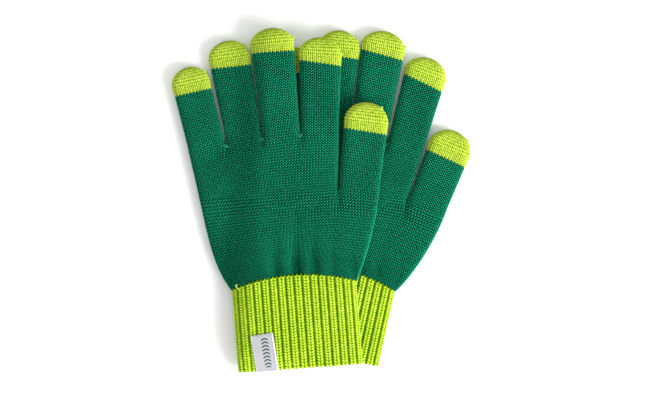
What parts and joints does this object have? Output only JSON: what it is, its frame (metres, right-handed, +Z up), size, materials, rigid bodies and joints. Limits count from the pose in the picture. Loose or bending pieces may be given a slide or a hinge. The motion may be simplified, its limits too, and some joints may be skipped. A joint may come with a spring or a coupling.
{
  "type": "pair of touchscreen gloves",
  "caption": "Pair of knitted touchscreen gloves lying flat and fanned, one on the other, with ribbed cuffs, contrasting fingertips and a small woven hem label.",
  "frame": {"origin": "on the table, under the middle of the pair's bounding box", "axes": "+Z up from the table, +Y towards the fingertips, +X towards the thumbs"},
  "size_m": [0.1858, 0.2128, 0.0176],
  "materials": {
    "hand_knit": "plain knit, soft",
    "touch_knit": "plain knit with conductive yarn",
    "rib_knit": "rib knit",
    "closing_yarn": "knotted yarn",
    "elastic_yarn": "covered elastic yarn",
    "tack_yarn": "yarn tacks",
    "label_satin": "woven satin",
    "label_thread": "sewing thread"
  },
  "bodies": {
    "right_hand": {"right_cuff": "rib_knit", "right_cuff_elastic": "elastic_yarn", "right_lower_hand": "hand_knit", "right_upper_hand": "hand_knit", "right_crotch_tacks": "tack_yarn", "right_middle_finger": "hand_knit", "right_middle_tip": "touch_knit", "right_middle_knot": "closing_yarn", "right_ring_finger": "hand_knit", "right_ring_tip": "touch_knit", "right_ring_knot": "closing_yarn", "right_little_finger": "hand_knit", "right_little_tip": "touch_knit", "right_little_knot": "closing_yarn"},
    "left_hand": {"left_cuff": "rib_knit", "left_cuff_elastic": "elastic_yarn", "left_lower_hand": "hand_knit", "left_upper_hand": "hand_knit", "left_crotch_tacks": "tack_yarn", "left_label": "label_satin", "left_label_thread": "label_thread"},
    "left_thumb": {"left_thumb": "hand_knit", "left_thumb_tip": "touch_knit", "left_thumb_knot": "closing_yarn"},
    "left_index": {"left_index_finger": "hand_knit", "left_index_tip": "touch_knit", "left_index_knot": "closing_yarn"},
    "left_middle": {"left_middle_finger": "hand_knit", "left_middle_tip": "touch_knit", "left_middle_knot": "closing_yarn"},
    "left_ring": {"left_ring_finger": "hand_knit", "left_ring_tip": "touch_knit", "left_ring_knot": "closing_yarn"},
    "left_little": {"left_little_finger": "hand_knit", "left_little_tip": "touch_knit", "left_little_knot": "closing_yarn"},
    "right_thumb": {"right_thumb": "hand_knit", "right_thumb_tip": "touch_knit", "right_thumb_knot": "closing_yarn"},
    "right_index": {"right_index_finger": "hand_knit", "right_index_tip": "touch_knit", "right_index_knot": "closing_yarn"}
  },
  "joints": [
    {"name": "left_glove_lift", "type": "slide", "parent": "right_hand", "child": "left_hand", "axis": [0, 0, 1], "range_m": [0, 0.15]},
    {"name": "left_thumb_curl", "type": "hinge", "parent": "left_hand", "child": "left_thumb", "pos_m": [0.02285, 0.00498, 0.0173], "axis": [0.9917, -0.1077, -0.0698], "range_deg": [0, 80]},
    {"name": "left_index_curl", "type": "hinge", "parent": "left_hand", "child": "left_index", "pos_m": [-0.00096, 0.04167, 0.01723], "axis": [0.9976, 0, -0.0698], "range_deg": [0, 85]},
    {"name": "left_middle_curl", "type": "hinge", "parent": "left_hand", "child": "left_middle", "pos_m": [-0.02474, 0.04037, 0.0164], "axis": [0.9942, 0.108, 0], "range_deg": [0, 85]},
    {"name": "left_ring_curl", "type": "hinge", "parent": "left_hand", "child": "left_ring", "pos_m": [-0.04809, 0.03702, 0.01516], "axis": [0.9818, 0.1766, 0.0698], "range_deg": [0, 85]},
    {"name": "left_little_curl", "type": "hinge", "parent": "left_hand", "child": "left_little", "pos_m": [-0.07115, 0.03206, 0.00969], "axis": [0.9609, 0.2396, 0.1392], "range_deg": [0, 85]},
    {"name": "right_thumb_curl", "type": "hinge", "parent": "right_hand", "child": "right_thumb", "pos_m": [0.065, -0.00464, 0.0089], "axis": [0.9282, -0.3656, -0.0698], "range_deg": [0, 80]},
    {"name": "right_index_curl", "type": "hinge", "parent": "right_hand", "child": "right_index", "pos_m": [0.05198, 0.03302, 0.00883], "axis": [0.9613, -0.2666, -0.0698], "range_deg": [0, 85]}
  ]
}
